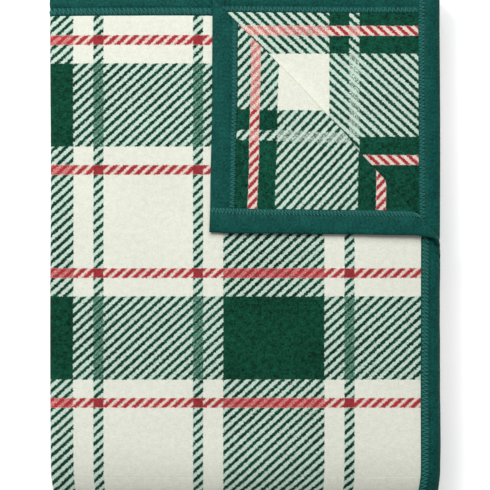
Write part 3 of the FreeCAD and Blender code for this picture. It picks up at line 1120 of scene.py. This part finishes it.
def stitch_tubes(kind, run, face, seed):
    """All stitches of a run on one side of the cloth, as closed four-sided tubes."""
    region, side = run[:2]
    zone = (FACE_ZONE if face else BACK_ZONE)[kind]
    shape = SECTIONS[kind][0 if face else 1]
    width = shape[0, 0]
    length = run_length(kind, run)
    count = max(int(round(length / PITCHES[kind])), 1)
    reach = np.where(RING <= 1, RING, 2 - RING)
    distance = width - (zone[0] + (zone[1] - zone[0]) * reach) * MM
    slant = np.where(RING <= 1, LEG_FROM * RING, LEG_FROM + LEG_OVER * (RING - 1)) / count
    number = np.arange(count)
    jitter = 0.10 * np.sin(number * 2.4 + seed) + 0.06 * np.sin(number * 5.1)
    share = ((number + 0.05 + jitter * 0.5) / count)[:, None] + slant
    lump = 1 + 0.10 * np.sin(number * 3.7 + seed)[:, None]
    arch = np.sin(np.pi * reach) ** 0.5
    aside = np.array([-1, 0, 1, 0]) * THREAD_HALF / length
    rise = np.array([0, 1, 0, -1]) * THREAD_HALF
    share = share[..., None] + aside * lump[..., None]
    if region == "corner_fold":
        low_half = ((number + 0.5) / count < 0.5)[:, None, None]
        share = np.where(low_half, share * SQUEEZED, 1 - (1 - share) * SQUEEZED)
    distance = np.broadcast_to(distance[:, None], share.shape)
    u, s = POINT[kind](run, distance, np.clip(share, 0, 1))
    along = along_edge(kind, region, side, u, s)
    over = np.interp(distance, shape[::-1, 0], shape[::-1, 1])
    over = over * puff(kind, region, u, s, along, distance, seed)
    height = RIM + over + (THREAD_ARCH * arch[:, None] - THREAD_SUNK) * MM + rise
    points = lay(region, side, u, s, height if face else -height)
    quarter, along_thread, _ = np.broadcast_arrays(np.arange(4) / 4, RING[:, None], share)
    return points, np.stack([quarter, along_thread], axis=-1), np.zeros(4, int)


def seam_piece(name, kind, runs, seed):
    """The stitches of all runs of an edge, on both sides of the cloth, as one object."""
    batches = [stitch_tubes(kind, run, face, seed) for run in runs for face in (True, False)]
    piece = make_mesh(name, batches)
    piece.data.materials.append(THREAD)
    return piece


# %% [markdown]
# The long-edge tape is sewn last, so it lies over the ends of the short-edge tapes. Those run on under it
# to the corner, pressed thin, but their own stitches stop where it begins.

# %% The runs themselves
TAPE_END = 0.9 * MM  # distance from the long edge at which an end tape stops
SEAM_END = SIDE_TAPE + 0.6 * MM  # and its stitches


def steady(value):
    """A start or end that is the same at every distance."""
    return lambda at: np.full(np.shape(at), value)


def side_runs(side):
    """Runs of a long edge, piece by piece."""
    top = (lambda d: bound_end("row_1", side, d)) if side == "d" else (lambda d: fold_y(d, 0))
    runs = {
        "row_1": [("row_1", side, top, steady(MAIN_Y))],
        "outer_fold": [("outer_fold", side, steady(0.0), steady(np.pi))],
        "lower": [
            ("row_2", side, steady(MAIN_Y), steady(END_Y)),
            ("end_fold", side, steady(0.0), steady(np.pi)),
            ("row_3", side, steady(END_Y), steady(MAIN_Y)),
        ],
        "inner_fold": [("inner_fold", side, steady(np.pi), steady(0.0))],
        "row_4": [("row_4", side, steady(MAIN_Y), lambda d: bound_end("row_4", side, d))],
    }
    if side == "a":
        runs["corner_fold"] = [("corner_fold", side, lambda d: fold_y(d, 0), lambda d: fold_y(d, 1))]
        runs["corner"] = [("corner", side, lambda d: fold_y(d, 1), lambda d: bound_end("row_1", side, d))]
    return runs


def round_the_strip(region, first, last):
    """Runs of an end edge from a start on side A, through both creases, to an end on side D."""
    middle_a, middle_d = (lambda s, side=side: side_length(side, region, s) for side in "ad")
    return [(region, "a", first, middle_a), (region, "d", middle_d, steady(last))]


def end_runs(stop):
    """Runs of the head and foot edges, stopping this far from the long edges."""
    head = {
        "row_1": round_the_strip("row_1", lambda s: fold_u(s, 0), stop),
        "corner": [("corner", "a", steady(stop), lambda s: fold_u(s, 1))],
        "corner_fold": [("corner_fold", "a", lambda s: fold_u(s, 1), lambda s: fold_u(s, 0))],
    }
    return head, {"row_4": round_the_strip("row_4", steady(stop), stop)}


trims = {}
for trim, build, stop in (("tape", tape_piece, TAPE_END), ("seam", seam_piece, SEAM_END)):
    head_runs, foot_runs = end_runs(stop)
    edges = [
        ("side", f"side_{trim}_a_", side_runs("a"), 0.3),
        ("side", f"side_{trim}_d_", side_runs("d"), 1.9),
        ("end", f"head_{trim}_", head_runs, 3.2),
        ("end", f"foot_{trim}_", foot_runs, 4.4),
    ]
    for kind, start, runs, seed in edges:
        for place, run_list in runs.items():
            trims[start + place] = build(f"{start}{place}_sewn", kind, run_list, seed)
print(len(trims), "tape and seam pieces,", sum(len(piece.data.polygons) for piece in trims.values()), "faces")

# %% [markdown]
# ## Which piece moves with which part
# Rows 1 and 4 lift together when the top half is opened, and rows 2 and 3 stay. The turned corner is its
# own part. The folds between them are put on no part: their placing is baked into their points, and the
# table below lists for each the two parts and the two places between which one hands over to the other.
# The diagonal fold's crest climbs a little towards the side edge, so its plane is tilted too.

# %% Riding, and the table of folds
CREST_SLOPE = 0.00456  # how much the crest climbs along the fold
CREST_UP = Vector((-CREST_SLOPE * ROOT_HALF, CREST_SLOPE * ROOT_HALF, 1)) * 0.02 * MM
CREST_PLANE = Vector((0, 0, TOP_PLY + 3.36 * MM))
BODY = {"row_1": "upper_half", "row_4": "upper_half", "row_2": "lower_half", "row_3": "lower_half",
        "end_fold": "lower_half", "lower": "lower_half", "corner": "corner_flap"}
BENDS = {  # first body, second body, and the two places between which one hands over to the other
    "outer_fold": ("upper_half", "lower_half", (0, 0, 37.9 * MM), (0, 0, 13.3 * MM)),
    "inner_fold": ("upper_half", "lower_half", (0, 0, 27.15 * MM), (0, 0, 26.85 * MM)),
    "corner_fold": ("upper_half", "corner_flap", CREST_PLANE - CREST_UP, CREST_PLANE + CREST_UP),
}


def place_of(name):
    """The region at the end of a tape's or seam's name."""
    return next(place for place in (*BENDS, *BODY) if name.endswith(place))


def attach(piece, place):
    """Makes a piece ride on its body, or bakes its transform in if it lies between two."""
    if place in BENDS:
        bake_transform(piece)
    else:
        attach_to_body(piece, BODY[place])


for place, piece in cloth.items():
    attach(piece, place)
    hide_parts("cloth_" + place)
for name, piece in trims.items():
    attach(piece, place_of(name))
    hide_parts(name)

# %% [markdown]
# The flat size that each piece of cloth was cut to is listed below. The whole blanket is 1.50 by 2.0
# metres, and each region takes its share of that.

# %% Flat sizes
WIDTH = 1.50
FLAT = {
    "row_1": (WIDTH, HEAD_Y - MAIN_Y),
    "row_2": (WIDTH, END_Y - MAIN_Y),
    "row_3": (WIDTH, END_Y - MAIN_Y),
    "row_4": (WIDTH, FOOT_Y - MAIN_Y),
    "corner": (0.215, 0.215),  # half of it: the corner is a triangle
    "corner_fold": (0.325, 0.0125),
}
FLAT |= {fold: (WIDTH, np.pi * radius) for fold, (_, _, radius, _, _) in FOLDS.items()}
print({place: [round(float(side), 3) for side in FLAT[place]] for place in cloth})

# %% [markdown]
# ## Floor, light and camera
# A large pale floor, a broad lamp from the left and a gentle sky. The camera looks straight down through
# a long lens.

# %% The setting
FLOOR_Z = -0.6 * MM  # the soft underside dips a little under the frame's own floor
FLOOR_REACH = 6
floor_corners = [(x * FLOOR_REACH, y * FLOOR_REACH, FLOOR_Z) for x, y in ((-1, -1), (1, -1), (1, 1), (-1, 1))]
floor_mesh = bpy.data.meshes.new("floor")
floor_mesh.from_pydata(floor_corners, [], [(0, 1, 2, 3)])
floor = bpy.data.objects.new("floor", floor_mesh)
bpy.context.scene.collection.objects.link(floor)
floor_finish, floor_shader = new_material("floor_paper", roughness=0.9, sheen=0.0, sheen_roughness=0.5)
floor_shader.inputs["Base Color"].default_value = (0.93, 0.93, 0.93, 1)
floor_shader.inputs["Emission Color"].default_value = (1, 1, 1, 1)
floor_shader.inputs["Emission Strength"].default_value = 0.38
floor_mesh.materials.append(floor_finish)


def lamp(name, place, size, power):
    """A square soft lamp pointing at the pad."""
    light = bpy.data.lights.new(name, "AREA")
    light.shape, light.size, light.energy = "SQUARE", size, power
    lamp_object = bpy.data.objects.new(name, light)
    lamp_object.location = place
    lamp_object.rotation_euler = (-Vector(place)).to_track_quat("-Z", "Y").to_euler()
    bpy.context.scene.collection.objects.link(lamp_object)


lamp("left_lamp", (-1.0, 1.0, 2.0), 0.8, 30)
lamp("top_lamp", (0.1, 1.9, 2.1), 1.5, 36)
world = bpy.data.worlds.new("studio")
world.use_nodes = True
world.node_tree.nodes["Background"].inputs["Color"].default_value = (1, 1, 1, 1)
world.node_tree.nodes["Background"].inputs["Strength"].default_value = 0.24
bpy.context.scene.world = world
bpy.context.scene.view_settings.view_transform = "Standard"

FIELD = 0.478  # width of the view at the top of the pad
CAMERA_Y = 0.0023
camera_data = bpy.data.cameras.new("camera")
camera_data.type, camera_data.lens, camera_data.sensor_width = "PERSP", 135, 36
camera = bpy.data.objects.new("camera", camera_data)
camera.location = (0, CAMERA_Y, TOP + FIELD * camera_data.lens / camera_data.sensor_width)
bpy.context.scene.collection.objects.link(camera)
bpy.context.scene.camera = camera
print(f"camera {camera.location.z:.2f} m over the floor, {camera_data.lens:.0f} mm lens")
